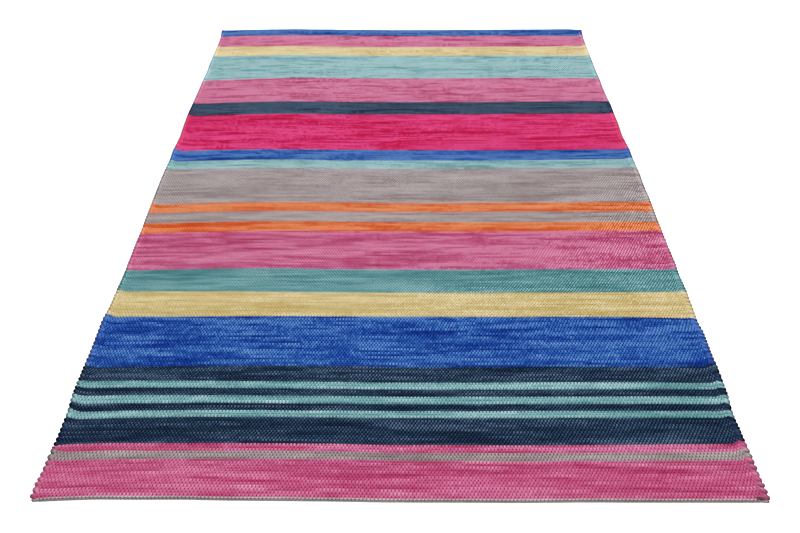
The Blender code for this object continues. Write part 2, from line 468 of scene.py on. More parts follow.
class RugTuck(PropertyGroup):
    """The yarn's end that is tucked in at the near right corner."""

    radius: length_property("Radius", "Radius where it is thickest", 0.0022)
    start: place_property("Start", "Its left end", (0.5730, -0.8925, 0.0104))
    middle: place_property("Middle", "Its top", (0.5785, -0.8955, 0.0116))
    end: place_property("End", "Its right end", (0.5860, -0.8975, 0.0094))


class RugStage(PropertyGroup):
    """Floor and light."""

    floor_size: length_property("Floor size", "Side of the floor", 12.0)
    floor_drop: length_property("Floor drop", "How far the floor lies under the cloth", 0.0002)
    floor_colour: colour_property("Floor colour", "Colour of the floor", (0.92, 0.92, 0.92))
    floor_glow: FloatProperty(name="Floor glow", description="Light that the floor gives off", default=1.0)
    sky: FloatProperty(name="Sky", description="Strength of the light all round", default=0.14)
    fill_power: power_property("Fill power", "Power of the wide light overhead", 104.0)
    fill_size: length_property("Fill size", "Side of the wide light", 6.0)
    fill_place: place_property("Fill place", "Place of the wide light", (0.0, 0.0, 3.2))
    key_power: power_property("Key power", "Power of the small light", 266.0)
    key_size: length_property("Key size", "Side of the small light", 1.6)
    key_place: place_property("Key place", "Place of the small light", (0.0, 3.2, 5.0))
    front_power: power_property("Front power", "Power of the low light in front", 17.0)
    front_size: length_property("Front size", "Side of the low light", 0.6)
    front_place: place_property("Front place", "Place of the low light", (0.0, -4.0, 0.35))


GROUPS = {
    "rug_cloth": RugCloth,
    "rug_weave": RugWeave,
    "rug_yarns": RugYarns,
    "rug_tuck": RugTuck,
    "rug_stage": RugStage,
}


def ease(share):
    """Smooth step from 0 to 1 that starts and ends level."""
    return share * share * (3.0 - 2.0 * share)


def ease_off(distance, reach):
    """Smooth share that goes from 1 at no distance to 0 at the reach."""
    return ease(np.clip(1.0 - distance / reach, 0.0, 1.0))


def read_table(table, places, column):
    """Values of a column at places between the rows, level at each row."""
    marks = np.array([row[0] for row in table])
    values = np.array([getattr(row, column) for row in table])
    after = np.clip(np.searchsorted(marks, places), 1, len(marks) - 1)
    before = after - 1
    share = np.clip((places - marks[before]) / (marks[after] - marks[before]), 0.0, 1.0)
    return values[before] + (values[after] - values[before]) * ease(share)


def smooth_noise(random, places, spacing, rows):
    """Rows of smooth noise between -1 and 1 at the places, with features as long as the spacing."""
    first = places.min()
    knots = int((places.max() - first) / spacing) + 2
    nearness = 1.0 - np.abs((places - first) / spacing - np.arange(knots)[:, None])
    return random.uniform(-1.0, 1.0, (rows, knots)) @ ease(np.clip(nearness, 0.0, 1.0))


def fold_radius(cloth):
    """Radius of a hem's fold, on the cloth's outer face."""
    return cloth.thickness + cloth.hem_slit / 2.0


def pick_places(cloth, weave):
    """Distances along the cloth of all borders between picks, and how many picks each stripe has.

    The distance counts from the top of the far fold, round which the cloth goes on to its hem.
    """
    random = np.random.default_rng(weave.seed)
    radius = fold_radius(cloth)
    turned = math.pi * radius + cloth.hem_depth - radius
    starts = np.cumsum([0.0] + [stripe.length for stripe in STRIPES]) - radius
    starts[0] = -turned
    starts[-1] = cloth.length - 2.0 * radius + turned
    places = [starts[:1]]
    counts = []
    for stripe, start, end in zip(STRIPES, starts, starts[1:]):
        picks = max(1, round((end - start) / YARNS[stripe.yarn].pick_spacing))
        widths = 1.0 + weave.pick_spread * random.uniform(-1.0, 1.0, picks)
        places.append(start + (end - start) * np.cumsum(widths) / widths.sum())
        counts.append(picks)
    return np.concatenate(places), counts


# The ring of columns round the cloth's cross section: how far across each one stands, the angle by
# which its face has turned from the upper face, the side it turns round, and its half tooth
Ring = namedtuple("Ring", "share turn side half_tooth")


def section_ring(weave):
    """Columns along the upper face, round the right side, back along the lower face and up the left."""
    half_teeth = 2 * weave.teeth
    upper = np.arange(half_teeth + 1)
    turns = math.pi * np.arange(1, SIDE_STEPS) / SIDE_STEPS
    lower = np.linspace(1.0, 0.0, LOWER_COLUMNS + 1)
    flat_upper = np.zeros(len(upper))
    flat_lower = np.zeros(len(lower))
    right = np.ones(len(turns))
    left = np.zeros(len(turns))
    share = np.concatenate([upper / half_teeth, right, lower, left])
    turn = np.concatenate([flat_upper, turns, flat_lower + math.pi, turns[::-1]])
    side = np.concatenate([flat_upper, right, flat_lower, -right])
    half_tooth = np.concatenate([upper, half_teeth * right, half_teeth * lower, left])
    return Ring(share, turn, side, half_tooth)


def is_upper(ring):
    """Which columns lie on the upper face."""
    return ring.turn == 0.0


# Which columns belong to the lobes of the woven sides, and which are the creases beside them
Lobes = namedtuple("Lobes", "columns creases")


def side_lobes(weave, ring):
    """The lobes' columns on both sides."""
    upper = is_upper(ring)
    right_crease = 2 * weave.teeth - RIGHT_LOBE_COLUMNS
    round_side = (ring.turn > 0.0) & (ring.turn < math.pi)
    left = (upper & (ring.half_tooth < LEFT_LOBE_COLUMNS)) | (round_side & (ring.side < 0.0))
    right = (upper & (ring.half_tooth > right_crease)) | (round_side & (ring.side > 0.0))
    at_crease = np.isin(ring.half_tooth, (LEFT_LOBE_COLUMNS, right_crease))
    return Lobes(left | right, upper & at_crease)


def lobe_swell(rows):
    """How full the lobes are in each row, from 0 in a notch to 1 in the middle of a lobe."""
    phase = ((np.arange(rows) - FIRST_LOBE_ROW) % ROWS_PER_LOBE) / ROWS_PER_LOBE
    return np.sin(math.pi * phase) ** LOBE_FULLNESS


def lobe_strengths(cloth, weave, ring, grooves):
    """Strength of every lobe, row by row."""
    random = np.random.default_rng(weave.seed + 4)
    rows = 2 * len(grooves) - 1
    row = np.arange(rows)
    from_far = np.interp(row / 2.0, np.arange(len(grooves)), grooves) + fold_radius(cloth)
    left = read_table(LOBE_STRENGTHS, from_far, "left")[:, None]
    right = read_table(LOBE_STRENGTHS, from_far, "right")[:, None]
    on_right = (ring.share > 0.5)
    order = (row + FIRST_LOBE_ROW) // ROWS_PER_LOBE
    chance = random.uniform(1.0 - weave.lobe_spread, 1.0, (rows, 2))[order]
    return np.where(on_right, right * chance[:, 1:], left * chance[:, :1])


def float_grid(ring, rows):
    """For each row and column: whether the row is a pick, and whether a float lies there.

    Odd rows run along the picks and even rows along the grooves between them. In a groove a float
    counts as there if it belongs to the nearer pick.
    """
    row = np.arange(rows)[:, None]
    on_pick = row % 2 == 1
    pick = row // 2
    has_float = (ring.half_tooth.astype(int) + pick) % 2 == 0
    return on_pick, has_float


def relief(cloth, weave, ring, grooves):
    """How far each point stands proud of the cloth's faces, and how much shade is painted on it."""
    random = np.random.default_rng(weave.seed + 1)
    rows = 2 * len(grooves) - 1
    on_pick, has_float = float_grid(ring, rows)
    lobes = side_lobes(weave, ring)
    swell = lobe_swell(rows)[:, None]
    strength = lobe_strengths(cloth, weave, ring, grooves)
    uneven = weave.float_waver * random.uniform(-1.0, 1.0, has_float.shape)
    upper_pick = np.where(has_float, weave.float_rise, -weave.warp_dip) + uneven
    upper = np.where(on_pick, upper_pick, -weave.groove + uneven)
    crease_shade = lobes.creases * np.where(ring.share > 0.5, RIGHT_CREASE_SHADE, LEFT_CREASE_SHADE)
    upper = np.where(lobes.creases, -weave.lobe_crease * crease_shade, upper)
    lower = np.where(on_pick, 0.0, -weave.lower_groove)
    rise = np.where(is_upper(ring), upper, lower)
    outward = weave.lobe_bulge * np.sin(ring.turn)
    lobe = (weave.lobe_rise + outward) * swell - weave.lobe_notch * (1.0 - swell)
    rise = np.where(lobes.columns, lobe * strength, rise)
    # Painted shade in the notches between the lobes and in the creases beside them
    painted_shade = np.where(lobes.columns, 1.0 - swell, crease_shade) * np.minimum(strength, 1.0)
    # Painted shade on the sides' turn, and a painted shadow along the outermost edge of the upper face
    outer_shade = OUTER_SHADE * np.sin(np.minimum(ring.turn, math.pi / 2.0)) * (ring.side != 0.0)
    outermost = is_upper(ring) & np.isin(ring.half_tooth, (0, 2 * weave.teeth))
    shade = np.maximum(outer_shade, EDGE_SHADE * outermost)
    return rise, np.maximum(painted_shade, shade) ** PAINTED_SHADE_NARROWNESS


def drifting_bands(cloth, weave, random, across, from_far):
    """How far whole bands of picks have drifted along the rug, calm at its ends."""
    drift = smooth_noise(random, across, DRIFT_WIDTH, DRIFT_BANDS + 1)
    steps = np.clip(from_far[:, 0] / cloth.length, 0.0, DRIFT_END) * DRIFT_BANDS
    below = steps.astype(int)
    share = ease(steps % 1.0)[:, None]
    calm = ease(np.clip(np.minimum(from_far, cloth.length - from_far) / DRIFT_CALM, 0.0, 1.0))
    return weave.cloth_drift * calm * (drift[below] * (1.0 - share) + drift[below + 1] * share)


def along_cloth(cloth, weave, ring, grooves):
    """Distance along the cloth of every point, from the top of the far fold."""
    random = np.random.default_rng(weave.seed + 2)
    across = ring.share * cloth.width
    wavering = weave.pick_waver * smooth_noise(random, across, PICK_WAVER_LENGTH, len(grooves))
    groove_places = grooves[:, None] + wavering
    rows = 2 * len(grooves) - 1
    along = np.empty((rows, len(across)))
    along[0::2] = groove_places
    along[1::2] = (groove_places[:-1] + groove_places[1:]) / 2.0
    on_pick, has_float = float_grid(ring, rows)
    in_lobe = side_lobes(weave, ring).columns
    interlocks = is_upper(ring) & ~on_pick & ~in_lobe
    along += np.where(interlocks, np.where(has_float, -weave.interlock, weave.interlock), 0.0)
    from_far = along[:, :1] + fold_radius(cloth)
    from_right = cloth.width - across
    sides = (("left", across, LEFT_BOW_REACH), ("right", from_right, RIGHT_BOW_REACH))
    for side, from_side, bow_reach in sides:
        along += read_table(PICK_BOWS, from_far, side) * ease_off(from_side, bow_reach)
        along -= read_table(END_RISES, from_far, side) * ease_off(from_side, END_RISE_REACH)
    along += drifting_bands(cloth, weave, random, across, from_far)
    slant_reach = RIGHT_LOBE_COLUMNS * cloth.width / (2 * weave.teeth)
    along += weave.lobe_slant * np.clip(1.0 - from_right / slant_reach, 0.0, 1.0)
    return along


# Where points of the cloth's outer face lie along the rug and up, which way the face looks, and how far
# it is turned under
Profile = namedtuple("Profile", "y z out up under")


def cloth_profile(cloth, along):
    """The cloth's outer face seen from the side, over the hems, round the folds and under the ends."""
    radius = fold_radius(cloth)
    top_length = cloth.length - 2.0 * radius
    fold_length = math.pi * radius
    from_fold = np.minimum(along, top_length - along)
    turn = np.clip(-from_fold / radius, 0.0, math.pi)
    past_fold = np.maximum(-from_fold - fold_length, 0.0)
    on_top = np.maximum(from_fold, 0.0)
    inward = radius + on_top - radius * np.sin(turn) + past_fold
    drop = 2.0 * radius - cloth.thickness
    share = np.clip((inward - cloth.hem_depth) / cloth.hem_slope, 0.0, 1.0)
    share = np.where(from_fold > 0.0, share, 0.0)
    slope = drop * 6.0 * share * (1.0 - share) / cloth.hem_slope
    steepness = np.hypot(slope, 1.0)
    out = np.where(from_fold > 0.0, -slope / steepness, np.sin(turn))
    up = np.where(from_fold > 0.0, 1.0 / steepness, np.cos(turn))
    height = radius + radius * np.cos(turn) - drop * ease(share)
    end = np.where(along < top_length / 2.0, 1.0, -1.0)
    return Profile(end * (cloth.length / 2.0 - inward), height, end * out, up, turn / math.pi)


def cloth_places(cloth, weave, ring, grooves):
    """Place of every point of the cloth, row by row, and how much shade is painted on it."""
    random = np.random.default_rng(weave.seed + 3)
    along = along_cloth(cloth, weave, ring, grooves)
    rise, painted_shade = relief(cloth, weave, ring, grooves)
    profile = cloth_profile(cloth, along)
    from_far = cloth.length / 2.0 - profile.y
    half = cloth.thickness / 2.0
    side_step = half + cloth.hem_side_step * profile.under
    fold_step = cloth.fold_side_step * np.sin(math.pi * profile.under) ** 0.5
    left = read_table(SIDE_EDGES, from_far, "left") + side_step + fold_step
    right = cloth.width - read_table(SIDE_EDGES, from_far, "right") - side_step
    from_left = left + (right - left) * ring.share
    from_side = cloth.width * np.minimum(ring.share, 1.0 - ring.share)
    middle = (from_side > STILL_SIDE) & is_upper(ring)
    waver = smooth_noise(random, along[:, 0], WARP_WAVER_LENGTH, len(ring.share)).T
    from_left += weave.warp_waver * waver * middle
    reach = half + rise
    past_side = ring.side * reach * np.sin(ring.turn)
    depth = np.minimum(half - reach * np.cos(ring.turn), cloth.thickness)
    at_end = ease_off(cloth.length / 2.0 - np.abs(profile.y), END_WAVE_REACH)
    far_inset = -read_table(LONG_FOLDS, from_left, "far_inset")
    near_inset = read_table(LONG_FOLDS, from_left, "near_inset")
    shift = np.where(profile.y > 0.0, far_inset, near_inset) * at_end
    far_lift = read_table(LONG_FOLDS, from_left, "far_lift")
    near_lift = read_table(LONG_FOLDS, from_left, "near_lift")
    lift = far_lift + (near_lift - far_lift) * ease(np.clip(0.5 - profile.y / cloth.length, 0.0, 1.0))
    x = from_left - cloth.width / 2.0 + past_side
    y = profile.y + shift - profile.out * depth
    z = np.maximum(profile.z + lift - profile.up * depth, 0.0)
    # Painted shade on the far fold, and painted light on the near fold
    on_fold = (profile.under > 0.0) & (profile.under < 1.0)
    fold_shade = np.where(profile.y < 0.0, NEAR_FOLD_SHADE, FAR_FOLD_SHADE) * on_fold
    return np.stack([x, y, z], axis=-1), painted_shade + fold_shade


def tube_mesh(name, places):
    """Closed mesh of one stripe: a grid wrapped round the section, welded, with its two ends filled.

    A point attribute keeps each vertex's place in the table, counted along the rows.
    """
    rows, around = places.shape[:2]
    table = [[Vector(place) for place in row] for row in places.tolist()]
    bm = bmesh.new()
    number = bm.verts.layers.int.new("number")
    bmesh.ops.create_grid(bm, x_segments=around, y_segments=rows - 1, size=0.5)
    for vert in bm.verts:
        column = round((vert.co.x + 0.5) * around) % around
        row = round((vert.co.y + 0.5) * (rows - 1))
        vert[number] = row * around + column
        vert.co = table[row][column]
    bmesh.ops.remove_doubles(bm, verts=bm.verts, dist=WELD_DISTANCE)
    ends = bmesh.ops.holes_fill(bm, edges=[edge for edge in bm.edges if edge.is_boundary])["faces"]
    bmesh.ops.triangulate(bm, faces=ends, ngon_method="BEAUTY")
    bmesh.ops.recalc_face_normals(bm, faces=bm.faces)
    mesh = bpy.data.meshes.new(name)
    bm.to_mesh(mesh)
    bm.free()
    return mesh


def read_numbers(mesh):
    """Each vertex's place in the table of places; its attribute is taken off the mesh."""
    numbers = np.empty(len(mesh.vertices), dtype=np.int32)
    mesh.attributes["number"].data.foreach_get("value", numbers)
    mesh.attributes.remove(mesh.attributes["number"])
    return numbers


def crease_edges(mesh, numbers, first_row, ring, weave):
    """Mark the grooves and the floats' ends as sharp, so that every float is a pillow of its own."""
    around = len(ring.share)
    ends = np.empty(2 * len(mesh.edges), dtype=np.int32)
    mesh.edges.foreach_get("vertices", ends)
    ends = numbers[ends].reshape(-1, 2)
    rows = ends // around + first_row
    columns = ends % around
    half_teeth = ring.half_tooth[columns].astype(int)
    upper = is_upper(ring)[columns].all(axis=1)
    lobe_ends = side_lobes(weave, ring).columns[columns].any(axis=1)
    notch = rows[:, 0] % ROWS_PER_LOBE == FIRST_LOBE_ROW
    one_row = rows[:, 0] == rows[:, 1]
    in_groove = one_row & (rows[:, 0] % 2 == 0) & np.where(lobe_ends, notch, True)
    pick = rows.min(axis=1) // 2
    one_column = columns[:, 0] == columns[:, 1]
    between_floats = one_column & upper & ~lobe_ends & ((half_teeth[:, 0] + pick) % 2 == 1)
    sharp = mesh.attributes.new("sharp_edge", "BOOLEAN", "EDGE")
    sharp.data.foreach_set("value", in_groove | between_floats)


def corner_numbers(mesh, numbers):
    """Place in the table of the vertex at every face corner."""
    corner_verts = np.empty(len(mesh.loops), dtype=np.int32)
    mesh.loops.foreach_get("vertex_index", corner_verts)
    return numbers[corner_verts]


def face_corners(mesh, numbers, around):
    """Row and column of every face corner, its face's first column, and whether that face fills an end.

    Beyond the seam the columns are counted on.
    """
    at_corners = corner_numbers(mesh, numbers)
    sizes = np.empty(len(mesh.polygons), dtype=np.int32)
    mesh.polygons.foreach_get("loop_total", sizes)
    faces = np.repeat(np.arange(len(sizes)), sizes)
    rows = at_corners // around
    columns = at_corners % around
    on_end = np.repeat(sizes == 3, sizes)
    highest = np.zeros(len(sizes), dtype=np.int32)
    np.maximum.at(highest, faces, columns)
    wraps = (highest[faces] > around // 2 + 1) & (columns == 0) & ~on_end
    columns = np.where(wraps, around, columns)
    lowest = np.full(len(sizes), around, dtype=np.int32)
    np.minimum.at(lowest, faces, columns)
    return rows, columns, lowest[faces], on_end


def weave_coordinates(ring, rows, columns, first_row):
    """Map of the weave: teeth across and picks along; the lower face is half a tooth off."""
    around = len(ring.share)
    tooth = np.append(ring.half_tooth / 2.0, 0.0)
    lower = np.append(ring.turn == math.pi, False)
    across = tooth[columns] + np.where(lower[columns], 0.5, 0.0)
    return np.stack([across, (rows + first_row) / 2.0], axis=-1)


# Layout of a stripe's own flat map: room round it and between its strips, height of an end's strip, how
# small the lower face is drawn, width of a column round the side, and how far an end's drawing is
# inset at each side and bulges out over it
MAP_MARGIN = 0.004
MAP_GAP = 0.006
END_STRIP_HEIGHT = 0.014
LOWER_FACE_SCALE = 0.35
SIDE_COLUMN_WIDTH = 0.0016
END_INSET = 0.02
END_BULGE = 0.01


def sheet_coordinates(cloth, ring, places, rows, columns, first_columns, on_end):
    """Map with room for every face: the cloth unrolled and cut into even strips, one above another."""
    length = np.linalg.norm(np.diff(places[:, 0], axis=0), axis=1).sum()
    share = np.append(ring.share, 0.0)
    turn = np.append(ring.turn, 0.0)
    flat_scale = np.where(turn[1:] == math.pi, LOWER_FACE_SCALE, 1.0)
    steps = np.abs(np.diff(share)) * cloth.width * flat_scale + SIDE_COLUMN_WIDTH * (np.diff(turn) != 0.0)
    ribbon = np.concatenate([[0.0], np.cumsum(steps)])
    strips = max(1, round(math.sqrt(ribbon[-1] / length)))
    cuts = np.searchsorted(ribbon, ribbon[-1] * np.arange(strips + 1) / strips)
    strip = np.searchsorted(cuts, first_columns, side="right") - 1
    strip = np.clip(strip, 0, strips - 1)
    widest = np.diff(ribbon[cuts]).max()
    across = (ribbon[columns] - ribbon[cuts[strip]]) / widest
    room = 1.0 - 2.0 * MAP_MARGIN - 2.0 * (END_STRIP_HEIGHT + MAP_GAP)
    strip_height = room / strips - MAP_GAP
    along = rows / (len(places) - 1)
    map_width = 1.0 - 2.0 * MAP_MARGIN
    u = MAP_MARGIN + across * map_width
    v = MAP_MARGIN + strip * (strip_height + MAP_GAP) + along * strip_height
    column_share = share[columns]
    column_depth = np.append((1.0 - np.cos(ring.turn)) / 2.0, 0.0)[columns]
    end_u = MAP_MARGIN + (END_INSET + (1.0 - 2.0 * END_INSET) * column_share) * map_width
    end_u += END_BULGE * np.sin(turn[columns]) * np.where(column_share > 0.5, 1.0, -1.0)
    end_base = MAP_MARGIN + room + np.where(rows > 0, END_STRIP_HEIGHT + MAP_GAP, 0.0)
    end_v = end_base + END_STRIP_HEIGHT * column_depth
    return np.stack([np.where(on_end, end_u, u), np.where(on_end, end_v, v)], axis=-1)


def set_map(mesh, name, coordinates):
    """Give a mesh a UV map."""
    layer = mesh.uv_layers.new(name=name)
    layer.uv.foreach_set("vector", coordinates.astype(np.float32).ravel())


def set_painted_shade(mesh, shade_amounts):
    """Tell for each vertex of a mesh how much shade is painted on it."""
    painted_shade = mesh.attributes.new(PAINTED_SHADE, "FLOAT", "POINT")
    painted_shade.data.foreach_set("value", shade_amounts)


def set_inputs(tree, node, inputs):
    """Set or link a node's inputs."""
    for name, value in inputs.items():
        if isinstance(value, bpy.types.NodeSocket):
            tree.links.new(value, node.inputs[name])
        else:
            node.inputs[name].default_value = value


def add_node(tree, kind, settings=None, inputs=None):
    """Add a node to a tree, set its properties, and set or link its inputs."""
    node = tree.nodes.new(kind)
    for name, value in (settings or {}).items():
        setattr(node, name, value)
    set_inputs(tree, node, inputs or {})
    return node


def calculate(tree, operation, *values):
    """Output of a Math node."""
    return add_node(tree, "ShaderNodeMath", {"operation": operation}, dict(enumerate(values))).outputs[0]


def fade(tree, value, start, end):
    """Smooth mask that goes from 0 at the start to 1 at the end."""
    inputs = {"Value": value, "From Min": start, "From Max": end}
    settings = {"interpolation_type": "SMOOTHSTEP"}
    return add_node(tree, "ShaderNodeMapRange", settings, inputs).outputs["Result"]


def noise(tree, x, y, detail=2.0):
    """Smooth noise at a place in two coordinates, with features about one unit long."""
    place = add_node(tree, "ShaderNodeCombineXYZ", None, {"X": x, "Y": y}).outputs["Vector"]
    inputs = {"Vector": place, "Scale": 1.0, "Detail": detail}
    return add_node(tree, "ShaderNodeTexNoise", {"noise_dimensions": "2D"}, inputs).outputs[0]


def new_group(name, inputs, outputs):
    """Empty shader node group and its input and output nodes; its sockets are numbers, but for Colour."""
    tree = bpy.data.node_groups.new(name, "ShaderNodeTree")
    for in_out, sockets in (("INPUT", inputs), ("OUTPUT", outputs)):
        for socket in sockets:
            kind = "NodeSocketColor" if socket == "Colour" else "NodeSocketFloat"
            tree.interface.new_socket(name=socket, in_out=in_out, socket_type=kind)
    return tree, add_node(tree, "NodeGroupInput"), add_node(tree, "NodeGroupOutput")


def add_group(tree, build, inputs=None, *values):
    """Outputs of a node for a shared group, which is built the first time that it is asked for."""
    name = build.__name__
    group = bpy.data.node_groups.get(name) or build(name, *values)
    return add_node(tree, "ShaderNodeGroup", {"node_tree": group}, inputs).outputs


def oval(tree, x, y, width, height):
    """Square of the distance from the middle of an oval, 1 on its edge."""
    across = calculate(tree, "POWER", calculate(tree, "DIVIDE", x, width), 2.0)
    along = calculate(tree, "POWER", calculate(tree, "DIVIDE", y, height), 2.0)
    return calculate(tree, "ADD", across, along)


def weave_lattice(name, weave):
    """Node group: the tooth and the pick of a point, the shade painted between the floats, and their
    crowns.
    """
    tree, _, end = new_group(name, (), ("Tooth", "Pick", "Pick Place", "Depth", "Crown"))
    place = add_node(tree, "ShaderNodeUVMap", {"uv_map": WEAVE_MAP}).outputs["UV"]
    split = add_node(tree, "ShaderNodeSeparateXYZ", None, {"Vector": place})
    tooth = split.outputs["X"]
    pick_place = split.outputs["Y"]
    pick = calculate(tree, "FLOOR", pick_place)
    half_offset = calculate(tree, "MULTIPLY", calculate(tree, "FLOORED_MODULO", pick, 2.0), 0.5)
    in_tooth = calculate(tree, "FRACT", calculate(tree, "SUBTRACT", tooth, half_offset))
    from_warp = calculate(tree, "ABSOLUTE", calculate(tree, "SUBTRACT", in_tooth, 0.5))
    in_pick = calculate(tree, "FRACT", pick_place)
    from_middle = calculate(tree, "ABSOLUTE", calculate(tree, "SUBTRACT", in_pick, 0.5))
    from_crown = calculate(tree, "SUBTRACT", 0.5, from_warp)
    # Painted shade in the gaps between floats and in the grooves between picks
    gap = fade(tree, oval(tree, from_warp, from_middle, GAP_WIDTH, GAP_HEIGHT), *GAP_FADE)
    crown = fade(tree, oval(tree, from_crown, from_middle, CROWN_WIDTH, CROWN_HEIGHT), *CROWN_FADE)
    groove = calculate(tree, "MULTIPLY", fade(tree, from_middle, *GROOVE_FADE), GROOVE_SHADE)
    left_crease = LEFT_LOBE_COLUMNS / 2.0
    right_crease = weave.teeth - RIGHT_LOBE_COLUMNS / 2.0
    from_left = fade(tree, tooth, left_crease, left_crease + LOBE_FADE)
    from_right = fade(tree, tooth, right_crease, right_crease - LOBE_FADE)
    inside = calculate(tree, "MULTIPLY", from_left, from_right)
    # Painted highlight on the floats' crowns: a shade below zero
    painted_highlight = calculate(tree, "MULTIPLY", crown, CROWN_SHADE)
    depth = calculate(tree, "ADD", calculate(tree, "MAXIMUM", gap, groove), painted_highlight)
    found = {
        "Tooth": tooth,
        "Pick": pick,
        "Pick Place": pick_place,
        "Depth": calculate(tree, "MULTIPLY", depth, inside),
        "Crown": calculate(tree, "MULTIPLY", crown, inside),
    }
    set_inputs(tree, end, found)
    return tree


def centred(tree, value):
    """Value between 0 and 1, set about zero."""
    return calculate(tree, "SUBTRACT", value, 0.5)


def mark_noise(tree, tooth, pick, mark, detail=2.0):
    """Noise along each pick by itself, with marks of one kind."""
    row = calculate(tree, "ADD", calculate(tree, "MULTIPLY", pick, PICK_STEP), mark.shift)
    return noise(tree, calculate(tree, "MULTIPLY", tooth, mark.per_tooth), row, detail)


def yarn_tone(tree, tooth, pick, farness):
    """How much deeper than plain the yarn is: long and short streaks, broad bands and flecks."""
    short_noise = mark_noise(tree, tooth, pick, SHORT_STREAK)
    band_across = calculate(tree, "MULTIPLY", tooth, BANDS_PER_TOOTH)
    band_along = calculate(tree, "MULTIPLY", pick, BANDS_PER_PICK)
    parts = (
        (mark_noise(tree, tooth, pick, LONG_STREAK), NEAR_LINES, FAR_LINES),
        (fade(tree, short_noise, *SHORT_STREAK_FADE), NEAR_STREAKS, FAR_STREAKS),
        (noise(tree, band_across, band_along), NEAR_BANDS, FAR_BANDS),
        (mark_noise(tree, tooth, pick, FLECK), NEAR_FLECKS, FAR_FLECKS),
    )
    tone = 0.0
    for part, near, growth in parts:
        strength = calculate(tree, "MULTIPLY_ADD", farness, growth, near)
        tone = calculate(tree, "MULTIPLY_ADD", centred(tree, part), strength, tone)
    return tone


def yarn_dye(name):
    """Node group: colour of a yarn with streaks and pale dashes along single picks, painted light that
    pales it towards the far end, painted shade in the gaps, grooves and valleys, and painted highlights on
    the crowns that dim towards the near end.

    They raise the colour to a power, which makes it deeper or paler as the amount of dye does; the painted
    shade also makes it darker and greyer.
    """
    place = ("Tooth", "Pick", "Depth", "Crown", "Painted Shade")
    yarn = ("Streaks", "Dashes", "Fading", "Dullness", "Colour")
    tree, start, end = new_group(name, place + yarn, ("Colour",))
    given = start.outputs
    tooth = given["Tooth"]
    pick = given["Pick"]
    painted_shade = given["Painted Shade"]
    nearness = calculate(tree, "DIVIDE", pick, ALL_PICKS)
    farness = calculate(tree, "SUBTRACT", 1.0, nearness)
    # Painted light: the colour gets paler towards the far end
    plain = calculate(tree, "SUBTRACT", 1.0, calculate(tree, "MULTIPLY", farness, given["Fading"]))
    tone = yarn_tone(tree, tooth, pick, farness)
    streak = calculate(tree, "MULTIPLY_ADD", tone, given["Streaks"], plain)
    palest = calculate(tree, "MULTIPLY_ADD", farness, FAR_PALEST_STREAK, NEAR_PALEST_STREAK)
    missed = fade(tree, mark_noise(tree, tooth, pick, PALE_DASH, 0.0), *PALE_DASH_FADE)
    dash = calculate(tree, "MULTIPLY", missed, given["Dashes"])
    pale = calculate(tree, "SUBTRACT", calculate(tree, "MAXIMUM", streak, palest), dash)
    # Painted shade of the gaps and grooves, deeper towards the far end, then the shade painted on the mesh
    gap_shade_strength = calculate(tree, "MULTIPLY_ADD", farness, PAINTED_SHADE_DEPTH * FAR_GAP_SHADE, PAINTED_SHADE_DEPTH)
    depth = calculate(tree, "MULTIPLY", given["Depth"], gap_shade_strength)
    depth = calculate(tree, "MULTIPLY_ADD", painted_shade, PAINTED_SHADE_DEPTH, depth)
    # Painted shade that dims the crowns' painted highlight towards the near end
    crown_shading = calculate(tree, "MULTIPLY", calculate(tree, "POWER", nearness, 2.0), given["Dullness"])
    depth = calculate(tree, "MULTIPLY_ADD", given["Crown"], crown_shading, depth)
    power = calculate(tree, "MAXIMUM", calculate(tree, "ADD", pale, depth), PALEST_FLOAT)
    dyed = add_node(tree, "ShaderNodeGamma", None, {"Color": given["Colour"], "Gamma": power})
    # Painted shade darkens and greys the colour; below zero, on the near fold, it is painted light
    shade_inputs = {
        "Color": dyed.outputs[0],
        "Value": calculate(tree, "MULTIPLY_ADD", painted_shade, -PAINTED_SHADE_DARKNESS, 1.0),
        "Saturation": calculate(tree, "MULTIPLY_ADD", painted_shade, -PAINTED_SHADE_GREYNESS, 1.0),
    }
    shaded = add_node(tree, "ShaderNodeHueSaturation", None, shade_inputs)
    set_inputs(tree, end, {"Colour": shaded.outputs[0]})
    return tree


def weighted_sum(tree, values, weights):
    """Sum of two values, each times its weight."""
    parts = [calculate(tree, "MULTIPLY", value, weight) for value, weight in zip(values, weights)]
    return calculate(tree, "ADD", *parts)


def cotton_fibre(name):
    """Node group: fine fibres that run along the yarn with a slight twist, as a height and a roughness."""
    tree, start, end = new_group(name, ("Tooth", "Pick Place"), ("Height", "Roughness"))
    across = calculate(tree, "MULTIPLY", start.outputs["Tooth"], TOOTH_SIZE)
    along = calculate(tree, "MULTIPLY", start.outputs["Pick Place"], PICK_SIZE)
    lengthwise = weighted_sum(tree, (across, along), FIBRE_LENGTHWISE)
    sideways = weighted_sum(tree, (across, along), FIBRE_SIDEWAYS)
    fibre = noise(tree, lengthwise, sideways, FIBRE_DETAIL)
    roughness = calculate(tree, "ADD", calculate(tree, "MULTIPLY", fibre, FIBRE_ROUGHNESS), LEAST_ROUGHNESS)
    set_inputs(tree, end, {"Height": fibre, "Roughness": roughness})
    return tree


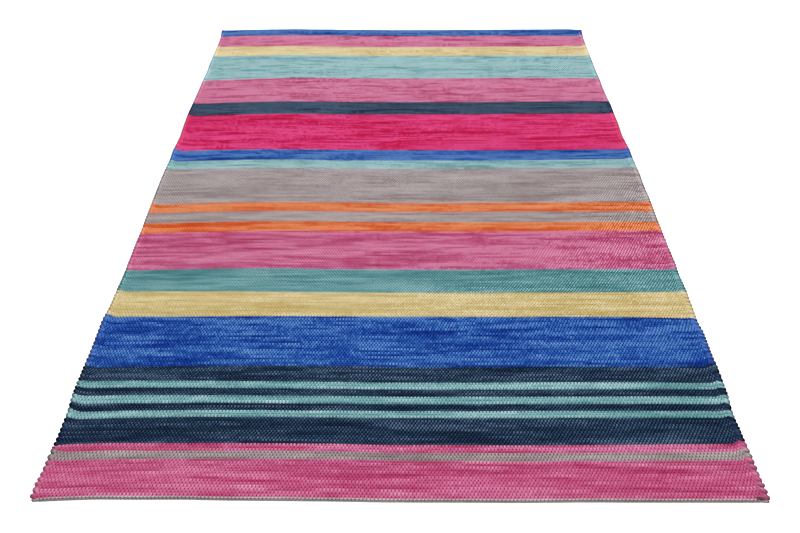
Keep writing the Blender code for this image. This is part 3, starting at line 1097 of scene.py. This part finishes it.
def cotton_material(yarn_name, yarns, weave):
    """Soft matt cotton in one yarn's colour, with its painted shade and highlights."""
    name = f"cotton_{yarn_name}_weave"
    made = bpy.data.materials.get(name)
    if made:
        return made
    yarn = YARNS[yarn_name]
    material = bpy.data.materials.new(name)
    material.use_nodes = True
    tree = material.node_tree
    lattice = add_group(tree, weave_lattice, None, weave)
    # Shade painted on the mesh: lobes, creases, sides, folds and the tucked end
    painted_shade = add_node(tree, "ShaderNodeAttribute", {"attribute_name": PAINTED_SHADE}).outputs["Fac"]
    dye_inputs = {
        "Tooth": lattice["Tooth"],
        "Pick": lattice["Pick"],
        "Depth": calculate(tree, "MULTIPLY", lattice["Depth"], yarn.gaps),
        "Crown": lattice["Crown"],
        "Painted Shade": painted_shade,
        "Streaks": yarn.streaks,
        "Dashes": yarn.dashes,
        "Fading": yarn.fading,
        "Dullness": yarn.dullness,
        "Colour": (*getattr(yarns, yarn_name), 1.0),
    }
    fibre_inputs = {"Tooth": lattice["Tooth"], "Pick Place": lattice["Pick Place"]}
    fibre = add_group(tree, cotton_fibre, fibre_inputs)
    bump_inputs = {"Strength": FIBRE_BUMP, "Distance": FIBRE_HEIGHT, "Height": fibre["Height"]}
    bump = add_node(tree, "ShaderNodeBump", None, bump_inputs)
    finish = {
        "Base Color": add_group(tree, yarn_dye, dye_inputs)["Colour"],
        "Roughness": fibre["Roughness"],
        "Normal": bump.outputs["Normal"],
        "Specular IOR Level": SPECULAR,
        "Sheen Weight": SHEEN,
        "Sheen Roughness": SHEEN_ROUGHNESS,
    }
    set_inputs(tree, tree.nodes["Principled BSDF"], finish)
    return material


def add_piece(context, mesh, yarn_name):
    """Piece of the visual model, in one yarn's cotton, that stands in for the solid."""
    scene = context.scene
    mesh.materials.append(cotton_material(yarn_name, scene.rug_yarns, scene.rug_weave))
    piece = bpy.data.objects.new(mesh.name, mesh)
    context.collection.objects.link(piece)
    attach(piece, "root")
    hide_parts(SOLID)
    return piece


class WeaveStripes(Operator):
    """Weave the cloth, one piece for each stripe of colour"""

    bl_idname = "rug.weave_stripes"
    bl_label = "Weave stripes"

    def execute(self, context):
        cloth = context.scene.rug_cloth
        weave = context.scene.rug_weave
        grooves, counts = pick_places(cloth, weave)
        ring = section_ring(weave)
        places, painted_shade = cloth_places(cloth, weave, ring, grooves)
        first_row = 0
        for order, (stripe, picks) in enumerate(zip(STRIPES, counts), start=1):
            last_row = first_row + 2 * picks
            stripe_places = places[first_row : last_row + 1]
            mesh = tube_mesh(f"stripe_{order:02d}_{stripe.yarn}", stripe_places)
            numbers = read_numbers(mesh)
            crease_edges(mesh, numbers, first_row, ring, weave)
            corners = face_corners(mesh, numbers, len(ring.share))
            rows, columns = corners[:2]
            set_map(mesh, WEAVE_MAP, weave_coordinates(ring, rows, columns, first_row))
            set_map(mesh, SHEET_MAP, sheet_coordinates(cloth, ring, stripe_places, *corners))
            # The painted shade goes on the mesh as a point attribute
            set_painted_shade(mesh, painted_shade[first_row : last_row + 1].ravel()[numbers])
            piece = add_piece(context, mesh, stripe.yarn)
            first_row = last_row
        return {"FINISHED"}


def tuck_rings(tuck):
    """Places of the tucked end: rings of points round a bowed path, thin at both ends."""
    steps = np.linspace(0.0, 1.0, TUCK_STEPS)[:, None]
    start = np.array(tuck.start)
    middle = np.array(tuck.middle)
    end = np.array(tuck.end)
    bow = 2.0 * middle - (start + end) / 2.0
    path = (1.0 - steps) ** 2 * start + 2.0 * steps * (1.0 - steps) * bow + steps**2 * end
    ahead = np.gradient(path, axis=0)
    ahead /= np.linalg.norm(ahead, axis=1, keepdims=True)
    side = np.cross(ahead, (0.0, 0.0, 1.0))
    side /= np.linalg.norm(side, axis=1, keepdims=True)
    over = np.cross(side, ahead)
    radius = tuck.radius * (TUCK_TIP + (1.0 - TUCK_TIP) * np.sin(math.pi * steps) ** TUCK_FULLNESS)
    angle = 2.0 * math.pi * np.arange(TUCK_SIDES)[None, :, None] / TUCK_SIDES
    around = np.cos(angle) * side[:, None, :] + np.sin(angle) * over[:, None, :]
    return path[:, None, :] + radius[:, :, None] * around


class TuckYarnEnd(Operator):
    """Tuck in the yarn's end at the near right corner"""

    bl_idname = "rug.tuck_yarn_end"
    bl_label = "Tuck yarn end"

    def execute(self, context):
        places = tuck_rings(context.scene.rug_tuck)
        sides = places.shape[1]
        mesh = tube_mesh("tucked_pink_end", places)
        at_corners = corner_numbers(mesh, read_numbers(mesh))
        across = at_corners // sides / TUCK_STEPS
        in_pick = TUCK_PICK_PLACE + TUCK_PICK_SHARE * (at_corners % sides / sides)
        set_map(mesh, WEAVE_MAP, np.stack([across, in_pick], axis=-1))
        # Painted shade on the tucked end
        set_painted_shade(mesh, np.full(len(mesh.vertices), TUCK_SHADE))
        mesh.shade_smooth()
        add_piece(context, mesh, "pink")
        return {"FINISHED"}


def floor_material(stage):
    """Plain pale floor that stays white under the soft light."""
    material = bpy.data.materials.new("pale_floor")
    material.use_nodes = True
    tree = material.node_tree
    finish = {
        "Base Color": (*stage.floor_colour, 1.0),
        "Roughness": FLOOR_ROUGHNESS,
        "Emission Color": WHITE,
        "Emission Strength": stage.floor_glow,
    }
    set_inputs(tree, tree.nodes["Principled BSDF"], finish)
    return material


def add_floor(context, stage):
    """Floor under the rug, which throws no light up at its edges."""
    bm = bmesh.new()
    bmesh.ops.create_grid(bm, x_segments=1, y_segments=1, size=stage.floor_size / 2.0)
    bmesh.ops.translate(bm, vec=(0.0, 0.0, -stage.floor_drop), verts=bm.verts)
    mesh = bpy.data.meshes.new("floor")
    bm.to_mesh(mesh)
    bm.free()
    mesh.materials.append(floor_material(stage))
    floor = bpy.data.objects.new("floor", mesh)
    context.collection.objects.link(floor)
    floor.visible_diffuse = False


def add_area_light(context, name, power, size, place):
    """Square light that looks at the middle of the rug."""
    lamp = bpy.data.lights.new(name, "AREA")
    lamp.shape = "SQUARE"
    lamp.size = size
    lamp.energy = power
    light = bpy.data.objects.new(name, lamp)
    light.location = place
    light.rotation_euler = (-Vector(place)).to_track_quat("-Z", "Y").to_euler()
    context.collection.objects.link(light)


def add_lights(context, stage):
    """Weak light all round, a wide light overhead, a small one beyond the far end, a low one in front."""
    world = bpy.data.worlds.new("studio")
    world.use_nodes = True
    tree = world.node_tree
    set_inputs(tree, tree.nodes["Background"], {"Color": WHITE, "Strength": stage.sky})
    context.scene.world = world
    add_area_light(context, "fill_light", stage.fill_power, stage.fill_size, stage.fill_place)
    add_area_light(context, "key_light", stage.key_power, stage.key_size, stage.key_place)
    add_area_light(context, "front_light", stage.front_power, stage.front_size, stage.front_place)


def add_camera(context):
    """Camera at the height and angle from which the rug is seen."""
    level = math.cos(CAMERA_PITCH)
    forward = Vector((-math.sin(CAMERA_YAW) * level, math.cos(CAMERA_YAW) * level, -math.sin(CAMERA_PITCH)))
    level_right = forward.cross(Vector((0.0, 0.0, 1.0))).normalized()
    level_up = level_right.cross(forward)
    right = level_right * math.cos(CAMERA_ROLL) + level_up * math.sin(CAMERA_ROLL)
    up = right.cross(forward)
    settings = bpy.data.cameras.new("camera")
    settings.lens = CAMERA_LENS
    settings.sensor_width = CAMERA_SENSOR
    settings.sensor_fit = "HORIZONTAL"
    camera = bpy.data.objects.new("camera", settings)
    turn = Matrix((right, up, -forward)).transposed().to_4x4()
    camera.matrix_world = Matrix.Translation(CAMERA_PLACE) @ turn
    context.collection.objects.link(camera)
    context.scene.camera = camera


class SetStage(Operator):
    """Lay the floor, and set the light and the camera"""

    bl_idname = "rug.set_stage"
    bl_label = "Set stage"

    def execute(self, context):
        stage = context.scene.rug_stage
        add_floor(context, stage)
        add_lights(context, stage)
        add_camera(context)
        context.scene.view_settings.view_transform = "Standard"
        return {"FINISHED"}


STEPS = (WeaveStripes, TuckYarnEnd, SetStage)


class RugPanel(Panel):
    """Sizes and steps of the striped rug"""

    bl_idname = "VIEW3D_PT_striped_rug"
    bl_label = "Striped rug"
    bl_space_type = "VIEW_3D"
    bl_region_type = "UI"
    bl_category = "Rug"

    def draw(self, context):
        for name in GROUPS:
            group = getattr(context.scene, name)
            column = self.layout.column(align=True)
            for size in group.__annotations__:
                column.prop(group, size)
        for step in STEPS:
            self.layout.operator(step.bl_idname)


CLASSES = (*GROUPS.values(), *STEPS, RugPanel)


def register():
    for item in CLASSES:
        bpy.utils.register_class(item)
    for name, group in GROUPS.items():
        setattr(bpy.types.Scene, name, PointerProperty(type=group))


def unregister():
    for name in GROUPS:
        delattr(bpy.types.Scene, name)
    for item in reversed(CLASSES):
        bpy.utils.unregister_class(item)


def main():
    register()
    bpy.ops.rug.weave_stripes()
    bpy.ops.rug.tuck_yarn_end()
    bpy.ops.rug.set_stage()


if __name__ == "__main__":
    main()
